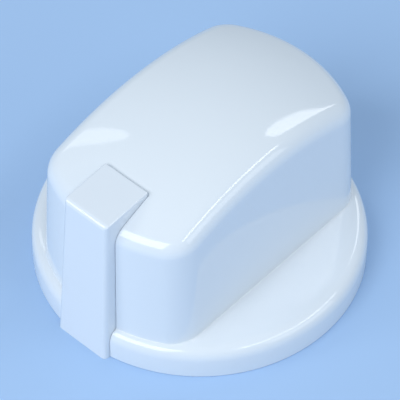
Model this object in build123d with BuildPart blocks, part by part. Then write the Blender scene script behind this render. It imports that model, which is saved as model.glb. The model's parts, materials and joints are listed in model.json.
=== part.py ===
"""Stove knob: a domed grip bar on a round flange, a pointer insert and a steel shaft spring."""

import os
from math import radians, sqrt, tan

from build123d import *

# Flange, the round skirt that stands on the panel (millimetres and degrees throughout)
flange_diameter = 50.0
flange_height = 5.3
flange_plate = 2.0
rim_wall = 2.0
rim_draft = 1.5
rim_shoulder = 2.2

# Grip bar across the flange, measured at the panel before its draft
grip_width = 28.9
grip_end_inset = 1.3
grip_draft = 2.3
grip_corner_radius = 5.3
shell_wall = 2.0

# Domed top: a shallow spherical cap with its crest above the shaft
crest_height = 30.0
dome_radius = 51.4
top_edge_radius = 3.0

# Shaft that the knob is made for: a round spindle with one flat
shaft_diameter = 6.0
shaft_across_flat = 4.6
shaft_clearance = 0.1
lead_in_clearance = 0.3

# Hub on the underside, and the ribs that tie it to the shell
hub_diameter = 12.0
hub_recess = 0.5
bore_depth = 17.5
round_lead_in = 4.0
mouth_chamfer = 0.5
rib_thickness = 1.5
rib_setback = 3.0

# Bowed leaf spring that presses on the shaft's flat
spring_thickness = 0.35
spring_width = 3.2
spring_length = 9.0
spring_bow = 1.1
spring_clearance = 0.15
spring_end_wall = 1.5

# Pointer insert at the front of the grip
pointer_top_width = 8.2
pointer_base_width = 9.5
pointer_back = 15.3
pointer_proud = 0.5
pointer_lean = 3.4
pointer_rise = 0.1
pointer_top_tilt = 3.0
pointer_wall = 1.6
pointer_heel = 2.4
pointer_skirt_level = 14.0
pointer_gap = 0.2
pointer_back_gap = 0.6
pointer_front_radius = 0.6
pointer_back_radius = 0.5

# Lips on the pointer that catch behind the grip's front wall
lip_reach = 1.2
lip_thickness = 1.4
lip_height = 5.0
lip_clearance = 0.3

# Values that follow from the sizes above
flange_radius = flange_diameter / 2
grip_end_radius = flange_radius - grip_end_inset
recess_depth = flange_height - flange_plate
lead_in_radius = shaft_diameter / 2 + lead_in_clearance
bore_radius = shaft_diameter / 2 + shaft_clearance
flat_offset = shaft_across_flat - shaft_diameter / 2
bore_flat = flat_offset + shaft_clearance
d_section_level = hub_recess + round_lead_in
bore_end = hub_recess + bore_depth
spring_level = d_section_level + spring_end_wall
spring_foot = flat_offset + spring_bow
spring_seat = spring_foot + spring_thickness + spring_clearance


def rim_radius(height):
    """Radius of the flange's drafted rim at a height above the panel."""
    return flange_radius - height * tan(radians(rim_draft))


def dome_height(distance):
    """Height of the domed top at a distance from the shaft axis."""
    return crest_height - dome_radius + sqrt(dome_radius**2 - distance**2)


def lean_back(height):
    """How far the pointer's front face has leaned back at a height above the panel."""
    return height * tan(radians(pointer_lean))


# Ends of the rim's shoulder curve, on the rim and on the flange's top
shoulder_foot = (rim_radius(flange_height - rim_shoulder), flange_height - rim_shoulder)
shoulder_top = (rim_radius(flange_height) - rim_shoulder, flange_height)

# Pointer's side view, worked out from the flange's edge and the dome behind it
pointer_top = dome_height(pointer_back) + pointer_rise
pointer_base_front = flange_radius + pointer_proud
pointer_top_depth = pointer_base_front - lean_back(pointer_top) - pointer_back
pointer_front_top = pointer_top - pointer_top_depth * tan(radians(pointer_top_tilt))
pointer_top_front = pointer_base_front - lean_back(pointer_front_top)

# Notch in the body, and the lips: as far forward as the curved front wall behind them allows
notch_half_width = pointer_base_width / 2 + pointer_gap
lip_half_width = notch_half_width + lip_reach
wall_at_lip = grip_end_radius - shell_wall - pointer_skirt_level * tan(radians(grip_draft))
lip_front = sqrt((wall_at_lip - lip_clearance) ** 2 - lip_half_width**2)


def grip_block(inset):
    """Drafted bar under the dome, or the room inside it when inset by the wall."""
    with BuildPart() as block:
        # Straight sides, ends concentric with the flange
        with BuildSketch():
            Circle(grip_end_radius - inset)
            Rectangle(grip_width - 2 * inset, flange_diameter, mode=Mode.INTERSECT)
        extrude(amount=crest_height, taper=grip_draft)
        upright = block.edges().filter_by(lambda edge: edge.bounding_box().size.Z > crest_height / 2)
        fillet(upright, grip_corner_radius - inset)
        # The sphere's poles lie sideways, clear of the crest
        with Locations((0, 0, crest_height - dome_radius)):
            Sphere(dome_radius - inset, rotation=(90, 0, 0), mode=Mode.INTERSECT)
    return block.part


def pointer_half_width(height):
    """Half of the pointer's width, which narrows evenly from the panel to its top."""
    return (pointer_base_width - (pointer_base_width - pointer_top_width) * height / pointer_top) / 2


def pointer_front_view(distance, gap):
    """Front view from below the panel to above the dome, widened by a gap for the notch."""
    low = -flange_height
    high = crest_height + flange_height
    with BuildSketch(Plane.XZ.offset(distance)) as view:
        with BuildLine():
            Polyline(
                (-pointer_half_width(low) - gap, low),
                (pointer_half_width(low) + gap, low),
                (pointer_half_width(high) + gap, high),
                (-pointer_half_width(high) - gap, high),
                close=True,
            )
        make_face()
    return view.sketch


# Core: the room inside the knob, with the hub and the ribs left standing in it
with BuildPart() as core:
    add(grip_block(shell_wall))
    with BuildSketch():
        Circle(flange_radius - rim_wall)
    extrude(amount=recess_depth)
    with BuildSketch(Plane.XY.offset(recess_depth + rib_setback)):
        Rectangle(rib_thickness, flange_diameter)
        Rectangle(flange_diameter, rib_thickness)
    extrude(amount=crest_height, mode=Mode.SUBTRACT)
    with BuildSketch(Plane.XY.offset(hub_recess)):
        Circle(hub_diameter / 2)
    extrude(amount=crest_height, mode=Mode.SUBTRACT)


# Knob body: one moulding of grip, flange, hub and ribs
with BuildPart() as knob_body:
    # Grip bar on a drafted disc with a soft shoulder
    add(grip_block(0))
    with BuildSketch(Plane.XZ):
        with BuildLine():
            Polyline(
                shoulder_top,
                (0, flange_height),
                (0, 0),
                (flange_radius, 0),
                shoulder_foot,
            )
            Bezier(shoulder_foot, (rim_radius(flange_height), flange_height), shoulder_top)
        make_face()
    revolve(axis=Axis.Z)

    # Notch for the pointer, from the dome down through the flange
    extrude(
        pointer_front_view(pointer_back - pointer_back_gap, pointer_gap),
        amount=flange_diameter,
        mode=Mode.SUBTRACT,
    )

    # Top edge rounded all the way round, as far as the notch
    dome = knob_body.faces().sort_by(Axis.Z)[-1]
    rounded = dome.edges().filter_by(
        lambda edge: edge.center().Y > 0 or abs(edge.center().X) > notch_half_width
    )
    fillet(rounded, top_edge_radius)

    add(core.part, mode=Mode.SUBTRACT)

    # Bore: a round lead-in, then the section with one flat
    with BuildSketch(Plane.XY.offset(hub_recess)):
        Circle(lead_in_radius)
    extrude(amount=round_lead_in, mode=Mode.SUBTRACT)
    with BuildSketch(Plane.XY.offset(d_section_level)):
        Circle(bore_radius)
        with Locations((0, bore_flat)):
            Rectangle(hub_diameter, hub_diameter, align=(Align.CENTER, Align.MAX), mode=Mode.INTERSECT)
    extrude(amount=bore_end - d_section_level, mode=Mode.SUBTRACT)
    hub_mouth = knob_body.edges().filter_by(GeomType.CIRCLE).filter_by_position(Axis.Z, hub_recess, hub_recess)
    chamfer(hub_mouth.sort_by(SortBy.RADIUS)[0], mouth_chamfer)

    # Slot behind the flat, where the spring sits
    with BuildSketch(Plane.XY.offset(spring_level - spring_clearance)):
        with Locations((0, bore_flat)):
            Rectangle(
                spring_width + 2 * spring_clearance,
                spring_seat - bore_flat,
                align=(Align.CENTER, Align.MIN),
            )
    extrude(amount=spring_length + 2 * spring_clearance, mode=Mode.SUBTRACT)


# Pointer: a hollow cap with a leaning front, open along its sloping underside
with BuildPart() as pointer:
    with BuildSketch(Plane.YZ):
        with BuildLine():
            Polyline(
                (-pointer_back, pointer_top),
                (-pointer_top_front, pointer_front_top),
                (-pointer_base_front, 0),
                (-pointer_base_front + pointer_heel, 0),
                (-pointer_back, pointer_skirt_level),
                close=True,
            )
        make_face()
    extrude(amount=pointer_base_width, both=True)
    extrude(pointer_front_view(0, 0), amount=flange_diameter, mode=Mode.INTERSECT)
    underside = pointer.faces().filter_by(lambda face: face.normal_at().Z < 0).sort_by(Axis.Y)[-1]
    offset(amount=-pointer_wall, openings=underside)

    # Rounded edges: wide at the front, crisp at the back of the top
    front_face = pointer.faces().sort_by(Axis.Y)[0]
    fillet(front_face.edges().filter_by(lambda edge: edge.center().Z > pointer_heel), pointer_front_radius)
    top_face = pointer.faces().sort_by(Axis.Z)[-1]
    fillet(top_face.edges().sort_by(Axis.Y)[1:], pointer_back_radius)

    # Lips behind the grip's front wall
    for side in (-1, 1):
        with BuildSketch(Plane.XY.offset(pointer_skirt_level)):
            with Locations((side * lip_half_width, -lip_front)):
                Rectangle(
                    lip_half_width - pointer_top_width / 2 + pointer_wall / 2,
                    lip_thickness,
                    align=(Align.MIN if side < 0 else Align.MAX, Align.MIN),
                )
        extrude(amount=-lip_height)


# Shaft spring: a leaf bowed towards the shaft, its ends against the back of the slot
with BuildPart() as shaft_spring:
    with BuildSketch(Plane.YZ):
        with BuildLine():
            ThreePointArc(
                (spring_foot, spring_level),
                (flat_offset, spring_level + spring_length / 2),
                (spring_foot, spring_level + spring_length),
            )
            offset(amount=spring_thickness, side=Side.RIGHT)
        make_face()
    extrude(amount=spring_width / 2, both=True)


os.makedirs("parts", exist_ok=True)
for name, piece in (("knob_body", knob_body), ("pointer", pointer), ("shaft_spring", shaft_spring)):
    piece.part.label = name
    export_step(piece.part, f"parts/{name}.step")
    print(name, round(piece.part.volume, 2), piece.part.bounding_box())
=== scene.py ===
# %% [markdown]
# A push-on stove knob. It is moulded in glossy white plastic: a domed bar to grip, on a round flange,
# with a separate pointer set into a notch at the front and a bowed steel spring hidden in the bore. These
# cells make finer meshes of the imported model's three pieces, in its frame and to its sizes, and finish
# them. Small rounds are added, and the pointer stands a little higher and closer in its notch than the
# packed one.

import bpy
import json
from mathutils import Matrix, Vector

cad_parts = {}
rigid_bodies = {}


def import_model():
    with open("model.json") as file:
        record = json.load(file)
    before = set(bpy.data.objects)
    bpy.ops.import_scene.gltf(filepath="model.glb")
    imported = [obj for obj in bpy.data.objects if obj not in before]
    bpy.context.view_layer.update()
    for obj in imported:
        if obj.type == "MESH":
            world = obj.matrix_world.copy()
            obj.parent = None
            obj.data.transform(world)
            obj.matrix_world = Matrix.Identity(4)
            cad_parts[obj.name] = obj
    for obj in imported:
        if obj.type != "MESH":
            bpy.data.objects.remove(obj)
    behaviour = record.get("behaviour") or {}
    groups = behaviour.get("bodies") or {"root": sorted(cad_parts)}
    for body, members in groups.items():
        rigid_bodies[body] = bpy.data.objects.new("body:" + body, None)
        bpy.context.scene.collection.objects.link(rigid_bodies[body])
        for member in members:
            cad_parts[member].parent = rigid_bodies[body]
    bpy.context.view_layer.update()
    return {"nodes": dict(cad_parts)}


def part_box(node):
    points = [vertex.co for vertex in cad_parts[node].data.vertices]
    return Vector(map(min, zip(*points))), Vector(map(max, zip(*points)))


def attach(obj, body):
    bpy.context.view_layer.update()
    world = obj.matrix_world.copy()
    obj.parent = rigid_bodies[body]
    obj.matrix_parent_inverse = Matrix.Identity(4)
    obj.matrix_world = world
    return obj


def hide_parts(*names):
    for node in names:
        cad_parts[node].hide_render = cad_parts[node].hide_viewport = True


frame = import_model()
print("packed nodes:", sorted(frame["nodes"]))

# %% [markdown]
# Blender works in metres, and a knob is drawn in millimetres, so sizes are written as millimetres times
# MM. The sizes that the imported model's boxes can tell are read from them, and the others are written out.

# %% Sizes of the moulding
import json
from math import cos, pi, radians, sin, sqrt, tan

import bmesh
import bpy
import numpy as np
from mathutils import Vector

MM = 0.001
body_low, body_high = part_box("knob_body")
FLANGE_RADIUS = body_high.x
FLANGE_HEIGHT = 5.3 * MM
FLANGE_PLATE = 2.0 * MM
RIM_WALL = 2.0 * MM
RIM_DRAFT = tan(radians(1.5))
RIM_SHOULDER = 2.2 * MM
RIM_FOOT_ROUND = 0.3 * MM

CREST = body_high.z
DOME_RADIUS = 51.4 * MM
TOP_ROUND = 3.0 * MM
GRIP_HALF = 14.45 * MM
GRIP_END = FLANGE_RADIUS - 1.3 * MM
GRIP_CORNER = 5.3 * MM
GRIP_DRAFT_ANGLE = radians(2.3)
FOOT_ROUND = 0.15 * MM
SHELL_WALL = 2.0 * MM
print(f"flange {2 * FLANGE_RADIUS / MM:.1f} mm across, crest at {CREST / MM:.1f} mm")

# %% [markdown]
# The bar's walls lean in a little, so that the moulding leaves its mould. Its outline at any height is
# two straight sides, two ends concentric with the flange and four rounded corners. One function gives
# that outline as a loop of columns, each with the direction in which the wall faces there. Every row of
# the mesh uses the same columns, so rows join up without any fitting.

# %% Outline of the grip bar
SIDE_STEPS, CORNER_STEPS, END_STEPS = 26, 18, 26
HALVINGS = 48


def quarter_stations():
    """Stations along a quarter of the outline: 0 to 1 the side, to 2 the corner, to 3 the end."""
    side = np.linspace(0, 1, SIDE_STEPS, endpoint=False)
    corner = np.linspace(1, 2, CORNER_STEPS, endpoint=False)
    end = np.linspace(2, 3, END_STEPS + 1)
    return np.concatenate((side, corner, end))


def column_loop():
    """Stations and mirror signs of all columns, once round the bar."""
    there = quarter_stations()
    back = there[::-1]
    stations, sign_x, sign_y = [], [], []
    for run, sx, sy in ((there, 1, 1), (back, -1, 1), (there, -1, -1), (back, 1, -1)):
        stations.append(run[:-1])
        sign_x.append(np.full(len(run) - 1, sx))
        sign_y.append(np.full(len(run) - 1, sy))
    return np.concatenate(stations), np.concatenate(sign_x), np.concatenate(sign_y)


STATION, SIGN_X, SIGN_Y = column_loop()
COLUMNS = len(STATION)


def bar_outline(height, inset=0.0):
    """Points and facing directions of the bar's outline, for one height a column."""
    lean = height * tan(GRIP_DRAFT_ANGLE) + inset
    corner = GRIP_CORNER - inset
    end = GRIP_END - lean
    centre_x = GRIP_HALF - lean - corner
    centre_y = np.sqrt((end - corner) ** 2 - centre_x**2)
    hand_over = np.arctan2(centre_y, centre_x)
    on_corner = np.clip(STATION - 1, 0, 1) * hand_over
    on_end = np.clip(STATION - 2, 0, 1) * (pi / 2 - hand_over)
    angle = on_corner + on_end
    x = np.where(STATION > 2, end * np.cos(angle), centre_x + corner * np.cos(angle))
    y = np.where(STATION > 2, end * np.sin(angle), centre_y + corner * np.sin(angle))
    y = np.where(STATION < 1, centre_y * STATION, y)
    points = np.column_stack((x * SIGN_X, y * SIGN_Y))
    facing = np.column_stack((np.cos(angle) * SIGN_X, np.sin(angle) * SIGN_Y))
    return points, facing


def with_height(points, height):
    """Plan points and their heights as places in space."""
    return np.column_stack((points, np.broadcast_to(height, COLUMNS)))


def halving(low, high, is_above):
    """Where a test changes, by halving, for all columns at once."""
    low = np.full(COLUMNS, low)
    high = np.full(COLUMNS, high)
    for _ in range(HALVINGS):
        middle = (low + high) / 2
        above = is_above(middle)
        high = np.where(above, middle, high)
        low = np.where(above, low, middle)
    return (low + high) / 2


print("columns round the bar:", COLUMNS)

# %% [markdown]
# The dome is part of a large ball whose centre lies far below, on the shaft axis. Between the dome and
# the wall runs a rounded edge, as if a small ball rolled along the inside of the corner. A bevel tool
# would need an edge to start from. Here the ball's own centre is found instead: it lies one radius inside
# the wall and one radius inside the dome, and the rounded edge is the arc it touches.

# %% Rows of the dome, its rounded edge and the walls
DOME_ROWS, ROUND_ROWS, WALL_ROWS, FOOT_ROWS = 40, 16, 22, 6
DOME_CENTRE = np.array((0.0, 0.0, CREST - DOME_RADIUS))


def dome_row(points, radius):
    """Plan points lifted onto the dome, or onto a ball inside it."""
    rise = np.sqrt(radius**2 - (points**2).sum(1))
    return with_height(points, DOME_CENTRE[2] + rise)


def wall_facing(facing):
    """The walls' facing directions, tipped up a little by the draft."""
    level = facing * cos(GRIP_DRAFT_ANGLE)
    return with_height(level, sin(GRIP_DRAFT_ANGLE))


def ball_centre(height):
    """Centre of the rolling ball that touches the wall at a height."""
    points, facing = bar_outline(height)
    return with_height(points, height) - TOP_ROUND * wall_facing(facing)


def leaves_dome(height):
    """Whether the ball at this height would break through the dome."""
    reach = np.linalg.norm(ball_centre(height) - DOME_CENTRE, axis=1)
    return reach > DOME_RADIUS - TOP_ROUND


touch_height = halving(CREST / 2, CREST, leaves_dome)
ball = ball_centre(touch_height)
from_wall = wall_facing(bar_outline(touch_height)[1])
from_dome = (ball - DOME_CENTRE) / (DOME_RADIUS - TOP_ROUND)


def turned(start, stop, share):
    """Directions part of the way round from one set to another."""
    angle = np.arccos(np.clip((start * stop).sum(1), -1, 1))[:, None]
    return (start * np.sin((1 - share) * angle) + stop * np.sin(share * angle)) / np.sin(angle)


def top_rows():
    """Rows from the crest outwards over the dome and round its edge."""
    dome_edge = (ball + TOP_ROUND * from_dome)[:, :2]
    rows = [dome_row(dome_edge * step / DOME_ROWS, DOME_RADIUS) for step in range(1, DOME_ROWS + 1)]
    for step in range(1, ROUND_ROWS + 1):
        rows.append(ball + TOP_ROUND * turned(from_dome, from_wall, step / ROUND_ROWS))
    return rows


print(f"rounded edge meets the wall {touch_height.min() / MM:.1f} to {touch_height.max() / MM:.1f} mm up")

# %% [markdown]
# The flange is turned: one profile runs up its drafted rim, over a soft shoulder and in across its top.
# Each column follows that profile from the rim to where it meets the bar's wall, and a small round fills
# the corner there. At the bar's two ends that meeting lies on the shoulder itself.

# %% Rows of the wall's foot and the flange
SHOULDER_ROWS, PLATE_ROWS, RIM_ROWS = 16, 8, 5


def bend(start, corner, stop, share):
    """A point on the curve that leaves one line and joins another, with their corner as its guide."""
    return (1 - share) ** 2 * start + 2 * share * (1 - share) * corner + share**2 * stop


def rim_profile():
    """Profile of the flange from its lower edge to near the shaft: radii and heights."""
    def on_rim(height):
        return np.array((FLANGE_RADIUS - height * RIM_DRAFT, height))

    foot_start = np.array((FLANGE_RADIUS - RIM_FOOT_ROUND, 0.0))
    corner = on_rim(FLANGE_HEIGHT)
    shoulder_top = corner - np.array((RIM_SHOULDER, 0.0))
    foot_stop = on_rim(RIM_FOOT_ROUND)
    points = [bend(foot_start, on_rim(0.0), foot_stop, share) for share in np.linspace(0, 1, RIM_ROWS)]
    shoulder_foot = on_rim(FLANGE_HEIGHT - RIM_SHOULDER)
    points += [bend(shoulder_foot, corner, shoulder_top, share) for share in np.linspace(0, 1, SHOULDER_ROWS)]
    points.append(np.array((FLANGE_RADIUS / 3, FLANGE_HEIGHT)))
    return np.array(points)


PROFILE = rim_profile()
RUN = np.concatenate(([0.0], np.cumsum(np.linalg.norm(np.diff(PROFILE, axis=0), axis=1))))
SHOULDER_END = RUN[-2]


def profile_radius(run):
    """Radius of the flange's profile, a distance along it."""
    return np.interp(run, RUN, PROFILE[:, 0])


def profile_height(run):
    """Height of the flange's profile, a distance along it."""
    return np.interp(run, RUN, PROFILE[:, 1])


def inside_wall(run):
    """Whether the profile has passed into the bar."""
    points, _ = bar_outline(profile_height(run))
    return np.linalg.norm(points, axis=1) > profile_radius(run)


meeting_run = halving(RUN[RIM_ROWS], RUN[-1], inside_wall)
meeting_height = profile_height(meeting_run)
meeting = with_height(bar_outline(meeting_height)[0], meeting_height)
outward = meeting[:, :2] / np.linalg.norm(meeting[:, :2], axis=1)[:, None]
foot_run = meeting_run - FOOT_ROUND


def flange_row(run):
    """A row of the flange, a distance along its profile in each column."""
    return with_height(outward * profile_radius(run)[:, None], profile_height(run))


def side_rows():
    """Rows from the rounded top edge down the wall, round its foot and out over the flange."""
    foot_height = meeting_height + FOOT_ROUND
    rows = []
    for step in range(1, WALL_ROWS + 1):
        height = touch_height + (foot_height - touch_height) * step / WALL_ROWS
        rows.append(with_height(bar_outline(height)[0], height))
    wall_foot, plate_edge = rows[-1], flange_row(foot_run)
    rows += [bend(wall_foot, meeting, plate_edge, step / FOOT_ROWS) for step in range(1, FOOT_ROWS + 1)]
    plate_run = np.maximum(foot_run, SHOULDER_END)
    for step in range(1, PLATE_ROWS):
        run = plate_run + (SHOULDER_END - plate_run) * step / PLATE_ROWS
        rows.append(flange_row(np.minimum(run, foot_run)))
    for run in RUN[-2::-1]:
        rows.append(flange_row(np.minimum(run, foot_run)))
    return rows


print(f"wall meets flange {meeting_height.min() / MM:.2f} to {meeting_height.max() / MM:.2f} mm up")

# %% [markdown]
# Underneath, the moulding is cored out to an even wall: a shallow round recess behind the rim, then the
# room inside the bar. The same columns carry on round the rim's lower edge and up inside, to a second
# crest. That makes one closed skin, which cutting tools can trust.

# %% Skin of the knob body
RECESS_HEIGHT = FLANGE_HEIGHT - FLANGE_PLATE
RECESS_RADIUS = FLANGE_RADIUS - RIM_WALL
ROOM_RADIUS = DOME_RADIUS - SHELL_WALL
ROOM_ROWS = 14
SAME_PLACE = 1e-7


def leaves_room(height):
    """Whether the inner wall at this height has passed the inner dome."""
    points, _ = bar_outline(height, SHELL_WALL)
    return np.linalg.norm(with_height(points, height) - DOME_CENTRE, axis=1) > ROOM_RADIUS


def inner_rows():
    """Rows from the rim's lower edge up through the recess and the room to the inner crest."""
    recess_edge = outward * RECESS_RADIUS
    rows = [with_height(recess_edge, RECESS_HEIGHT * step / 3) for step in range(4)]
    room_mouth, _ = bar_outline(np.full(COLUMNS, RECESS_HEIGHT), SHELL_WALL)
    for step in range(1, 4):
        rows.append(with_height(recess_edge + (room_mouth - recess_edge) * step / 3, RECESS_HEIGHT))
    room_top = halving(CREST / 2, CREST, leaves_room)
    for step in range(1, ROOM_ROWS + 1):
        height = RECESS_HEIGHT + (room_top - RECESS_HEIGHT) * step / ROOM_ROWS
        rows.append(with_height(bar_outline(height, SHELL_WALL)[0], height))
    room_edge = rows[-1][:, :2]
    for step in range(ROOM_ROWS - 1, 0, -1):
        rows.append(dome_row(room_edge * step / ROOM_ROWS, ROOM_RADIUS))
    return rows


def new_piece(name, points, faces):
    """A mesh object from points and faces, closed, with its faces turned outwards."""
    mesh = bpy.data.meshes.new(name)
    mesh.from_pydata([tuple(point) for point in points], [], faces)
    shaped = bmesh.new()
    shaped.from_mesh(mesh)
    bmesh.ops.remove_doubles(shaped, verts=shaped.verts, dist=SAME_PLACE)
    bmesh.ops.recalc_face_normals(shaped, faces=shaped.faces)
    shaped.to_mesh(mesh)
    shaped.free()
    piece = bpy.data.objects.new(name, mesh)
    bpy.context.scene.collection.objects.link(piece)
    return piece


def skin_from_rows(name, rows, first_point, last_point):
    """A closed skin over rows of columns, drawn together to a point at either end."""
    faces = []
    for row in range(len(rows) - 1):
        for column in range(COLUMNS):
            beside = (column + 1) % COLUMNS
            here, below = row * COLUMNS, (row + 1) * COLUMNS
            faces.append((here + column, below + column, below + beside, here + beside))
    first, last = len(rows) * COLUMNS, len(rows) * COLUMNS + 1
    for column in range(COLUMNS):
        beside = (column + 1) % COLUMNS
        faces.append((first, column, beside))
        faces.append((last, (len(rows) - 1) * COLUMNS + beside, (len(rows) - 1) * COLUMNS + column))
    points = np.vstack(rows + [np.array([first_point, last_point])])
    return new_piece(name, points, faces)


knob = skin_from_rows(
    "knob_moulding",
    top_rows() + side_rows() + inner_rows(),
    (0.0, 0.0, CREST),
    (0.0, 0.0, CREST - SHELL_WALL),
)
print("skin of the body:", len(knob.data.polygons), "faces")

# %% [markdown]
# The hub that takes the shaft, and the four thin ribs that tie it to the walls, stand in that room. They
# are plain closed forms that reach half-way into the wall, and exact booleans join them to the skin. The
# bore, its flat, the spring's slot and the pointer's notch are cut in the same way.

# %% Tools for joining and cutting
TURNED_STEPS = 96


def loft(name, points, ring):
    """A closed form through rings of points, with flat ends."""
    count = len(points) // ring
    faces = [tuple(range(ring)), tuple(range((count - 1) * ring, count * ring))]
    for step in range(count - 1):
        for corner in range(ring):
            beside = (corner + 1) % ring
            here, above = step * ring, (step + 1) * ring
            faces.append((here + corner, here + beside, above + beside, above + corner))
    return new_piece(name, points, faces)


def prism(name, outline, depth):
    """A closed block: a flat outline carried along a depth vector."""
    near = [Vector(point) for point in outline]
    far = [point + Vector(depth) for point in near]
    return loft(name, near + far, len(near))


def turning(name, profile):
    """A closed turned form about the shaft axis, from radii and heights."""
    angles = np.linspace(0, 2 * pi, TURNED_STEPS, endpoint=False)
    points = []
    for radius, height in profile:
        points += [(radius * cos(angle), radius * sin(angle), height) for angle in angles]
    return loft(name, points, TURNED_STEPS)


def finished_mesh(piece):
    """Keep what a piece's modifiers make, and take the modifiers off."""
    bpy.context.view_layer.update()
    shown = piece.evaluated_get(bpy.context.evaluated_depsgraph_get())
    made = bpy.data.meshes.new_from_object(shown)
    piece.modifiers.clear()
    piece.data = made


def combine(piece, tool, operation):
    """Join a tool to a piece or cut it away, then remove the tool."""
    modifier = piece.modifiers.new("combine", "BOOLEAN")
    modifier.operation = operation
    modifier.solver = "EXACT"
    modifier.object = tool
    finished_mesh(piece)
    bpy.data.objects.remove(tool)


# %% Hub and ribs
HUB_RADIUS = 6.0 * MM
HUB_RECESS = 0.5 * MM
RIB_HALF = 0.75 * MM
RIB_LOW = RECESS_HEIGHT + 3.0 * MM
RIB_STEPS = 12
MID_WALL = SHELL_WALL / 2


def mid_dome(distance):
    """Height half-way through the dome's wall."""
    return DOME_CENTRE[2] + sqrt((DOME_RADIUS - MID_WALL) ** 2 - distance**2)


def rib_outline(half_span):
    """Side view of a rib: level below, leaning with the walls, and domed above."""
    def wall(height):
        return half_span - MID_WALL - height * tan(GRIP_DRAFT_ANGLE)

    top_span = wall(mid_dome(half_span))
    outline = [(-wall(RIB_LOW), RIB_LOW), (wall(RIB_LOW), RIB_LOW)]
    for across in np.linspace(top_span, -top_span, RIB_STEPS):
        outline.append((across, mid_dome(across)))
    return outline


hub = turning("hub", [(HUB_RADIUS, HUB_RECESS), (HUB_RADIUS, mid_dome(0))])
cross_side = [(across, -RIB_HALF, up) for across, up in rib_outline(GRIP_HALF)]
cross_rib = prism("cross_rib", cross_side, (0, 2 * RIB_HALF, 0))
long_side = [(-RIB_HALF, along, up) for along, up in rib_outline(GRIP_END)]
long_rib = prism("long_rib", long_side, (2 * RIB_HALF, 0, 0))
for stiffener in (hub, cross_rib, long_rib):
    combine(knob, stiffener, "UNION")
print("body with hub and ribs:", len(knob.data.polygons), "faces")

# %% [markdown]
# The bore leads in round and wide, then becomes a D that fits a shaft with one flat. Behind the flat is
# the slot for the spring. The notch at the front narrows upwards with the pointer and leaves it a little
# room.

# %% Bore, slot and notch
LEAD_IN_RADIUS = 3.3 * MM
LEAD_IN_END = 4.5 * MM
MOUTH_CHAMFER = 0.5 * MM
BORE_RADIUS = 3.1 * MM
BORE_FLAT = 1.7 * MM
BORE_END = 18.0 * MM
ARC_STEPS = 48
SPRING_LOW, SPRING_HIGH = (corner.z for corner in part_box("shaft_spring"))
SPRING_HALF_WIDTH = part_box("shaft_spring")[1].x
SPRING_ROOM = 0.15 * MM
SPRING_SEAT = 3.2 * MM

mouth_edge = LEAD_IN_RADIUS + MOUTH_CHAMFER
lead_in = turning(
    "lead_in",
    [
        (mouth_edge + HUB_RECESS, 0.0),
        (mouth_edge, HUB_RECESS),
        (LEAD_IN_RADIUS, HUB_RECESS + MOUTH_CHAMFER),
        (LEAD_IN_RADIUS, LEAD_IN_END),
    ],
)
flat_angle = np.arcsin(BORE_FLAT / BORE_RADIUS)
d_arc = np.linspace(pi - flat_angle, 2 * pi + flat_angle, ARC_STEPS)
d_outline = [(BORE_RADIUS * cos(angle), BORE_RADIUS * sin(angle), LEAD_IN_END - MM) for angle in d_arc]
d_bore = prism("d_bore", d_outline, (0, 0, BORE_END - LEAD_IN_END + MM))


def upright_box(name, low, high):
    """A box between two corners."""
    outline = [
        (low[0], low[1], low[2]),
        (high[0], low[1], low[2]),
        (high[0], high[1], low[2]),
        (low[0], high[1], low[2]),
    ]
    return prism(name, outline, (0, 0, high[2] - low[2]))


slot_half = SPRING_HALF_WIDTH + SPRING_ROOM
spring_slot = upright_box(
    "spring_slot",
    (-slot_half, BORE_FLAT - MM, SPRING_LOW - SPRING_ROOM),
    (slot_half, SPRING_SEAT, SPRING_HIGH + SPRING_ROOM),
)

POINTER_BACK = 15.3 * MM
POINTER_RISE = 0.4 * MM
POINTER_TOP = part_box("pointer")[1].z + POINTER_RISE
POINTER_BASE_HALF = 4.75 * MM
POINTER_TOP_HALF = 4.1 * MM
NOTCH_GAP = 0.04 * MM
NOTCH_BACK_GAP = 0.04 * MM
NOTCH_BACK = NOTCH_BACK_GAP - POINTER_BACK


def pointer_half_width(height):
    """Half the pointer's width, which narrows evenly upwards."""
    return POINTER_BASE_HALF - (POINTER_BASE_HALF - POINTER_TOP_HALF) * height / POINTER_TOP


def notch_outline(low, high):
    """Front view of the notch at its back, between two heights."""
    corners = ((-1, low), (1, low), (1, high), (-1, high))
    return [(side * (pointer_half_width(up) + NOTCH_GAP), NOTCH_BACK, up) for side, up in corners]


notch = prism("notch", notch_outline(-FLANGE_HEIGHT, CREST + FLANGE_HEIGHT), (0, -FLANGE_RADIUS, 0))
for tool in (lead_in, d_bore, spring_slot, notch):
    combine(knob, tool, "DIFFERENCE")
print("body with bore, slot and notch:", len(knob.data.polygons), "faces")

# %% [markdown]
# Moulded edges aren't knife-sharp. A thin cutter with a round hollow is swept along the notch's edge: up
# one side from the rim, along the back and down the other side. The edge's path comes from the skin's own
# rows, where each one crosses the notch's wall. At the two corners the cutter is mitred, as a picture
# frame is.

# %% Soft edges of the notch
NOTCH_ROUND = 0.15 * MM
CUTTER_REACH = 0.1 * MM
HOLLOW_STEPS = 7
BACK_STEPS = 9
LEAST_STEP = 0.03 * MM

outer_rows = np.array(top_rows() + side_rows())
around = np.roll(outer_rows, -1, axis=1) - np.roll(outer_rows, 1, axis=1)
outer_facing = np.cross(np.gradient(outer_rows, axis=0), around)


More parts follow.
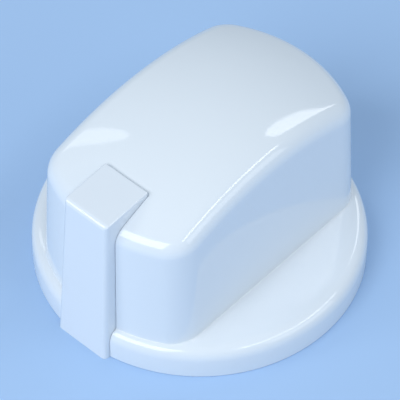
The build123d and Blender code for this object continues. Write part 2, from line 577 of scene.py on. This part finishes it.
def notch_side(side):
    """Places, facings and ways into the notch along one side's edge, from the dome down to the rim."""
    edge = []
    for row, facing in zip(outer_rows, outer_facing):
        beyond = side * row[:, 0] - pointer_half_width(row[:, 2]) - NOTCH_GAP
        crosses = (beyond < 0) != (np.roll(beyond, -1) < 0)
        found = np.flatnonzero(crosses & (row[:, 1] < NOTCH_BACK))
        if len(found) == 0:
            continue
        here, beside = found[0], (found[0] + 1) % COLUMNS
        share = beyond[here] / (beyond[here] - beyond[beside])
        place = row[here] + share * (row[beside] - row[here])
        out = facing[here] + share * (facing[beside] - facing[here])
        is_new = not edge or np.linalg.norm(place - edge[-1][0]) > LEAST_STEP
        if is_new and np.linalg.norm(out) > 0:
            edge.append((place, out / np.linalg.norm(out), np.array((-side, 0.0, 0.0))))
    return edge


def notch_back():
    """Edge of the notch along its back, on the dome, with its two mitred corners."""
    half = pointer_half_width(POINTER_TOP) + NOTCH_GAP
    edge = []
    for share in np.linspace(-1, 1, BACK_STEPS):
        rise = sqrt(DOME_RADIUS**2 - NOTCH_BACK**2 - (share * half) ** 2)
        place = np.array((share * half, NOTCH_BACK, DOME_CENTRE[2] + rise))
        aside = -share if abs(share) == 1 else 0.0
        edge.append((place, (place - DOME_CENTRE) / DOME_RADIUS, np.array((aside, -1.0, 0.0))))
    return edge


hollow = [(CUTTER_REACH, CUTTER_REACH), (CUTTER_REACH, -NOTCH_ROUND)]
for angle in np.linspace(0, pi / 2, HOLLOW_STEPS):
    hollow.append((NOTCH_ROUND * (cos(angle) - 1), NOTCH_ROUND * (sin(angle) - 1)))
hollow.append((-NOTCH_ROUND, CUTTER_REACH))
edge_path = notch_side(-1)[::-1] + notch_back() + notch_side(1)
cutter_points = []
for place, out, inward in edge_path:
    cutter_points += [place + above * out + within * inward for above, within in hollow]
cutter = loft("edge_cutter", cutter_points, len(hollow))
combine(knob, cutter, "DIFFERENCE")
print("soft edge of the notch:", len(edge_path), "steps")

# %% [markdown]
# The pointer is a hollow cap with a leaning front. It has few flat faces, so it is built as a plain block
# whose outer edges get Blender's bevel, and then hollowed. That gives true rounds that catch the light.

# %% Pointer
POINTER_FRONT = -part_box("pointer")[0].y
POINTER_HEEL = 2.4 * MM
POINTER_SKIRT = 14.0 * MM
POINTER_WALL = 1.6 * MM
POINTER_LEAN = tan(radians(3.4))
POINTER_TILT = tan(radians(3.8))
POINTER_ROUND = 0.8 * MM
SMALL_ROUND_SHARE = 0.3
ROUND_STEPS = 6
UPPER_EDGES = POINTER_SKIRT * 1.1
ROOM_DROP = POINTER_WALL * 1.1
LIP_HALF_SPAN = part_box("pointer")[1].x
LIP_HEIGHT = 5.0 * MM
LIP_THICKNESS = 1.4 * MM
LIP_FRONT = 19.9 * MM
LIP_ROOT = POINTER_TOP_HALF - POINTER_WALL / 2


def front_at(height):
    """How far forward the leaning front is at a height."""
    return POINTER_FRONT - height * POINTER_LEAN


front_top = POINTER_TOP - (front_at(POINTER_TOP) - POINTER_BACK) * POINTER_TILT
pointer_side = [
    (POINTER_BACK, POINTER_TOP),
    (front_at(front_top), front_top),
    (POINTER_FRONT, 0.0),
    (POINTER_FRONT - POINTER_HEEL, 0.0),
    (POINTER_BACK, POINTER_SKIRT),
]


def wedge(name, side_view, narrower):
    """A block with a side view and sides that narrow upwards, made narrower by a wall."""
    points = []
    for side in (-1, 1):
        points += [(side * (pointer_half_width(up) - narrower), -out, up) for out, up in side_view]
    return loft(name, points, len(side_view))


pointer = wedge("pointer_cap", pointer_side, 0.0)
weights = pointer.data.attributes.new("bevel_weight_edge", "FLOAT", "EDGE")
for edge in pointer.data.edges:
    ends = [pointer.data.vertices[end].co for end in edge.vertices]
    in_front = max(end.y for end in ends) < -POINTER_BACK - POINTER_WALL
    is_upper = max(end.z for end in ends) > UPPER_EDGES
    weights.data[edge.index].value = (1.0 if in_front else SMALL_ROUND_SHARE) if is_upper else 0.0
rounds = pointer.modifiers.new("rounds", "BEVEL")
rounds.limit_method = "WEIGHT"
rounds.width = POINTER_ROUND
rounds.segments = ROUND_STEPS
finished_mesh(pointer)

room_top = front_top - POINTER_WALL
pointer_room = [
    (POINTER_BACK + POINTER_WALL, POINTER_TOP - ROOM_DROP),
    (front_at(room_top) - POINTER_WALL, room_top),
    (front_at(POINTER_WALL) - POINTER_WALL, POINTER_WALL),
    (POINTER_BACK + POINTER_WALL, POINTER_WALL),
]
combine(pointer, wedge("pointer_room", pointer_room, POINTER_WALL), "DIFFERENCE")
for side in (-1, 1):
    left, right = sorted((side * LIP_HALF_SPAN, side * LIP_ROOT))
    lip = upright_box(
        "lip",
        (left, -LIP_FRONT, POINTER_SKIRT - LIP_HEIGHT),
        (right, LIP_THICKNESS - LIP_FRONT, POINTER_SKIRT),
    )
    combine(pointer, lip, "UNION")
print("pointer:", len(pointer.data.polygons), "faces")

# %% [markdown]
# The spring is a strip of rolled steel bowed towards the shaft. An arc through its two feet and its
# middle gives the bow, and the strip is swept along it with its long edges broken a little, as blanked
# strip has.

# %% Shaft spring
SPRING_FOOT = 2.7 * MM
SPRING_HALF_LENGTH = 4.5 * MM
SPRING_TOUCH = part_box("shaft_spring")[0].y
SPRING_THICKNESS = 0.35 * MM
SPRING_EDGE = 0.08 * MM
SPRING_STEPS = 64

bow = SPRING_FOOT - SPRING_TOUCH
arc_radius = (SPRING_HALF_LENGTH**2 + bow**2) / (2 * bow)
arc_middle = (SPRING_LOW + SPRING_HIGH) / 2
half_turn = np.arcsin(SPRING_HALF_LENGTH / arc_radius)
edge_view = [
    (-SPRING_HALF_WIDTH + SPRING_EDGE, 0.0),
    (SPRING_HALF_WIDTH - SPRING_EDGE, 0.0),
    (SPRING_HALF_WIDTH, SPRING_EDGE),
    (SPRING_HALF_WIDTH, SPRING_THICKNESS - SPRING_EDGE),
    (SPRING_HALF_WIDTH - SPRING_EDGE, SPRING_THICKNESS),
    (-SPRING_HALF_WIDTH + SPRING_EDGE, SPRING_THICKNESS),
    (-SPRING_HALF_WIDTH, SPRING_THICKNESS - SPRING_EDGE),
    (-SPRING_HALF_WIDTH, SPRING_EDGE),
]
spring_points = []
for angle in np.linspace(-half_turn, half_turn, SPRING_STEPS):
    for across, deep in edge_view:
        reach = arc_radius - deep
        height = arc_middle + reach * sin(angle)
        spring_points.append((across, SPRING_TOUCH + arc_radius - reach * cos(angle), height))
spring = loft("spring_leaf", spring_points, len(edge_view))
print("spring:", len(spring.data.polygons), "faces")

# %% [markdown]
# Smooth shading blends the small faces of a curve into one surface. Edges that turn sharply are marked,
# so that the notch, the bore and the rim keep their crisp lines.

# %% Smooth shading
CRISP_ANGLE = radians(28)
for piece in (knob, pointer, spring):
    piece.data.shade_smooth()
    piece.data.set_sharp_from_angle(angle=CRISP_ANGLE)
for piece in (pointer, spring):
    even = piece.modifiers.new("even", "WEIGHTED_NORMAL")
    even.keep_sharp = True
    finished_mesh(piece)
print("shaded:", knob.name, pointer.name, spring.name)

# %% [markdown]
# Glossy mouldings are never quite even. The plastic sinks a little as it cools, so reflections waver, the
# gloss is uneven where fingers have polished it, and the white has faint clouds. Body and pointer share
# this effect, so it is a node group, and each material places it with its own values.

# %% Moulded surface group
CLOUD_SCALE, CLOUD_DETAIL = 90.0, 3.0
GLOSS_SCALE, GLOSS_DETAIL = 420.0, 5.0
WAVE_SCALE, WAVE_DETAIL = 130.0, 1.0
GLOSS_LOW, GLOSS_HIGH = 0.35, 0.65


def group_socket(group, name, kind, way, value=None):
    """A named socket on a node group."""
    socket = group.interface.new_socket(name=name, in_out=way, socket_type=kind)
    if value is not None:
        socket.default_value = value


def moulded_surface():
    """Cloudy white, uneven gloss and slow waves, as on cooled moulded plastic."""
    group = bpy.data.node_groups.new("moulded_surface", "ShaderNodeTree")
    group_socket(group, "Light white", "NodeSocketColor", "INPUT", (0.8, 0.8, 0.8, 1))
    group_socket(group, "Deep white", "NodeSocketColor", "INPUT", (0.75, 0.75, 0.75, 1))
    group_socket(group, "Least roughness", "NodeSocketFloat", "INPUT", 0.1)
    group_socket(group, "Most roughness", "NodeSocketFloat", "INPUT", 0.2)
    group_socket(group, "White", "NodeSocketColor", "OUTPUT")
    group_socket(group, "Roughness", "NodeSocketFloat", "OUTPUT")
    group_socket(group, "Waves", "NodeSocketFloat", "OUTPUT")
    nodes, links = group.nodes, group.links
    inputs = nodes.new("NodeGroupInput")
    outputs = nodes.new("NodeGroupOutput")
    place = nodes.new("ShaderNodeTexCoord")

    def noise(scale, detail):
        texture = nodes.new("ShaderNodeTexNoise")
        texture.inputs["Scale"].default_value = scale
        texture.inputs["Detail"].default_value = detail
        links.new(place.outputs["Object"], texture.inputs["Vector"])
        return texture.outputs["Fac"]

    clouds = nodes.new("ShaderNodeMix")
    clouds.data_type = "RGBA"
    links.new(noise(CLOUD_SCALE, CLOUD_DETAIL), clouds.inputs["Factor"])
    links.new(inputs.outputs["Deep white"], clouds.inputs["A"])
    links.new(inputs.outputs["Light white"], clouds.inputs["B"])
    links.new(clouds.outputs["Result"], outputs.inputs["White"])

    gloss = nodes.new("ShaderNodeMapRange")
    links.new(noise(GLOSS_SCALE, GLOSS_DETAIL), gloss.inputs["Value"])
    gloss.inputs["From Min"].default_value = GLOSS_LOW
    gloss.inputs["From Max"].default_value = GLOSS_HIGH
    links.new(inputs.outputs["Least roughness"], gloss.inputs["To Min"])
    links.new(inputs.outputs["Most roughness"], gloss.inputs["To Max"])
    links.new(gloss.outputs["Result"], outputs.inputs["Roughness"])

    links.new(noise(WAVE_SCALE, WAVE_DETAIL), outputs.inputs["Waves"])
    return group


surface = moulded_surface()
print("node group:", surface.name)

# %% [markdown]
# The plastic itself is a Principled shader with a clear, hard gloss. The pointer comes from another
# mould, so its white and its gloss differ a little from the body's.

# %% White plastics
PLASTIC_IOR = 1.56


def moulded_plastic(name, light_white, deep_white, roughness, wave_depth):
    """A glossy moulded plastic."""
    material = bpy.data.materials.new(name)
    material.use_nodes = True
    nodes, links = material.node_tree.nodes, material.node_tree.links
    shader = nodes["Principled BSDF"]
    shader.inputs["IOR"].default_value = PLASTIC_IOR
    moulded = nodes.new("ShaderNodeGroup")
    moulded.node_tree = surface
    moulded.inputs["Light white"].default_value = light_white
    moulded.inputs["Deep white"].default_value = deep_white
    moulded.inputs["Least roughness"].default_value = roughness[0]
    moulded.inputs["Most roughness"].default_value = roughness[1]
    bump = nodes.new("ShaderNodeBump")
    bump.inputs["Strength"].default_value = 1.0
    bump.inputs["Distance"].default_value = wave_depth
    links.new(moulded.outputs["White"], shader.inputs["Base Color"])
    links.new(moulded.outputs["Roughness"], shader.inputs["Roughness"])
    links.new(moulded.outputs["Waves"], bump.inputs["Height"])
    links.new(bump.outputs["Normal"], shader.inputs["Normal"])
    return material


body_white = moulded_plastic(
    "body_white", (0.80, 0.85, 0.90, 1), (0.78, 0.83, 0.885, 1), (0.045, 0.08), 0.02 * MM
)
pointer_white = moulded_plastic(
    "pointer_white", (0.79, 0.84, 0.90, 1), (0.77, 0.82, 0.885, 1), (0.06, 0.10), 0.01 * MM
)
print("plastics:", body_white.name, pointer_white.name)

# %% [markdown]
# Spring strip is rolled, so fine streaks run along it and break up its reflections. Stretched noise gives
# the streaks, in the roughness and as a slight relief.

# %% Spring steel
steel = bpy.data.materials.new("rolled_steel")
steel.use_nodes = True
steel_nodes, steel_links = steel.node_tree.nodes, steel.node_tree.links
steel_shader = steel_nodes["Principled BSDF"]
steel_shader.inputs["Metallic"].default_value = 1.0
steel_place = steel_nodes.new("ShaderNodeTexCoord")
stretch = steel_nodes.new("ShaderNodeMapping")
stretch.inputs["Scale"].default_value = (9000, 9000, 300)
streaks = steel_nodes.new("ShaderNodeTexNoise")
streaks.inputs["Scale"].default_value = 1.0
streaks.inputs["Detail"].default_value = 4.0
tone = steel_nodes.new("ShaderNodeMix")
tone.data_type = "RGBA"
tone.inputs["A"].default_value = (0.42, 0.42, 0.43, 1)
tone.inputs["B"].default_value = (0.62, 0.62, 0.63, 1)
sheen = steel_nodes.new("ShaderNodeMapRange")
sheen.inputs["To Min"].default_value = 0.22
sheen.inputs["To Max"].default_value = 0.42
relief = steel_nodes.new("ShaderNodeBump")
relief.inputs["Distance"].default_value = 0.004 * MM
steel_links.new(steel_place.outputs["Object"], stretch.inputs["Vector"])
steel_links.new(stretch.outputs["Vector"], streaks.inputs["Vector"])
steel_links.new(streaks.outputs["Fac"], tone.inputs["Factor"])
steel_links.new(streaks.outputs["Fac"], sheen.inputs["Value"])
steel_links.new(streaks.outputs["Fac"], relief.inputs["Height"])
steel_links.new(tone.outputs["Result"], steel_shader.inputs["Base Color"])
steel_links.new(sheen.outputs["Result"], steel_shader.inputs["Roughness"])
steel_links.new(relief.outputs["Normal"], steel_shader.inputs["Normal"])
print("metal:", steel.name)

# %% [markdown]
# Each finished piece takes the place of its imported node, takes on its finish and rides on the knob's one
# body.

# %% Put the pieces in place
for piece, node, slot, finish in (
    (knob, "knob_body", "white_plastic", body_white),
    (pointer, "pointer", "pointer_plastic", pointer_white),
    (spring, "shaft_spring", "spring_steel", steel),
):
    piece.data.materials.clear()
    piece.data.materials.append(finish)
    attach(piece, "root")
    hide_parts(node)
    print(piece.name, "stands for", node)

# %% [markdown]
# The knob lies on a plain pale floor. A wide soft lamp stands in front and above, with a smaller one to
# its left. Two lamps on the right light the long wall and the flange. Two narrow oval strips behind the
# knob draw the bright crescents on the dome, and an even pale surround fills the shadows.

# %% Floor
FLOOR_HALF = 1.5
FLOOR_CORNERS = ((-1, -1), (1, -1), (1, 1), (-1, 1))
floor_outline = [(right * FLOOR_HALF, back * FLOOR_HALF, -MM) for right, back in FLOOR_CORNERS]
floor = prism("floor", floor_outline, (0, 0, MM))
floor_finish = bpy.data.materials.new("pale_floor")
floor_finish.use_nodes = True
floor_shader = floor_finish.node_tree.nodes["Principled BSDF"]
floor_shader.inputs["Base Color"].default_value = (0.40, 0.58, 0.85, 1)
floor_shader.inputs["Roughness"].default_value = 0.8
floor.data.materials.append(floor_finish)
print("floor:", floor.name)

# %% Camera and lamps
VIEW_AZIMUTH = radians(42.03)
VIEW_ELEVATION = radians(49.55)
VIEW_DISTANCE = 0.45
VIEW_ROLL = radians(0.41)
VIEW_LENS = 276.1
TARGET = Vector((0, 0, 10 * MM))


def from_target(azimuth, elevation, distance):
    """A place seen from the knob, by its bearing round from the front and its height angle."""
    level = cos(elevation) * distance
    return TARGET + Vector((sin(azimuth) * level, -cos(azimuth) * level, sin(elevation) * distance))


camera_data = bpy.data.cameras.new("camera")
camera_data.lens = VIEW_LENS
camera_data.sensor_width = 36.0
camera_data.clip_start = 0.01
camera = bpy.data.objects.new("camera", camera_data)
camera.location = from_target(VIEW_AZIMUTH, VIEW_ELEVATION, VIEW_DISTANCE)
camera.rotation_euler = (TARGET - camera.location).to_track_quat("-Z", "Y").to_euler()
camera.rotation_euler.rotate_axis("Z", VIEW_ROLL)
bpy.context.scene.collection.objects.link(camera)
bpy.context.scene.camera = camera


LAMP_WHITE = (0.96, 0.985, 1.0)


def lamp(name, azimuth, elevation, distance, size, power, turn=0, shape="RECTANGLE"):
    """A soft lamp that faces the knob, turned about its own middle."""
    light = bpy.data.lights.new(name, "AREA")
    light.shape = shape
    light.size, light.size_y = size
    light.energy = power
    light.color = LAMP_WHITE
    placed = bpy.data.objects.new(name, light)
    placed.location = from_target(radians(azimuth), radians(elevation), distance)
    placed.rotation_euler = (TARGET - placed.location).to_track_quat("-Z", "Y").to_euler()
    placed.rotation_euler.rotate_axis("Z", radians(turn))
    bpy.context.scene.collection.objects.link(placed)


lamp("front_lamp", azimuth=3, elevation=42, distance=0.8, size=(0.5, 0.5), power=3.1)
lamp("left_lamp", azimuth=-33, elevation=28, distance=0.8, size=(0.2, 0.3), power=1.0)
lamp("right_lamp", azimuth=110, elevation=56, distance=0.75, size=(0.75, 0.08), power=1.05)
lamp("low_right_lamp", azimuth=108, elevation=30, distance=0.8, size=(0.6, 0.3), power=0.8)
lamp(
    "left_strip", azimuth=264.5, elevation=41.5, distance=0.7, size=(0.075, 0.30), power=0.10,
    turn=28, shape="ELLIPSE",
)
lamp(
    "right_strip", azimuth=187.5, elevation=38, distance=0.7, size=(0.07, 0.37), power=0.22,
    turn=-9, shape="ELLIPSE",
)

world = bpy.data.worlds.new("surround")
world.use_nodes = True
surround = world.node_tree.nodes["Background"]
surround.inputs["Color"].default_value = (0.70, 0.85, 1.0, 1)
surround.inputs["Strength"].default_value = 0.42
bpy.context.scene.world = world
bpy.context.scene.view_settings.view_transform = "Standard"
print("camera", [round(c, 4) for c in camera.location])
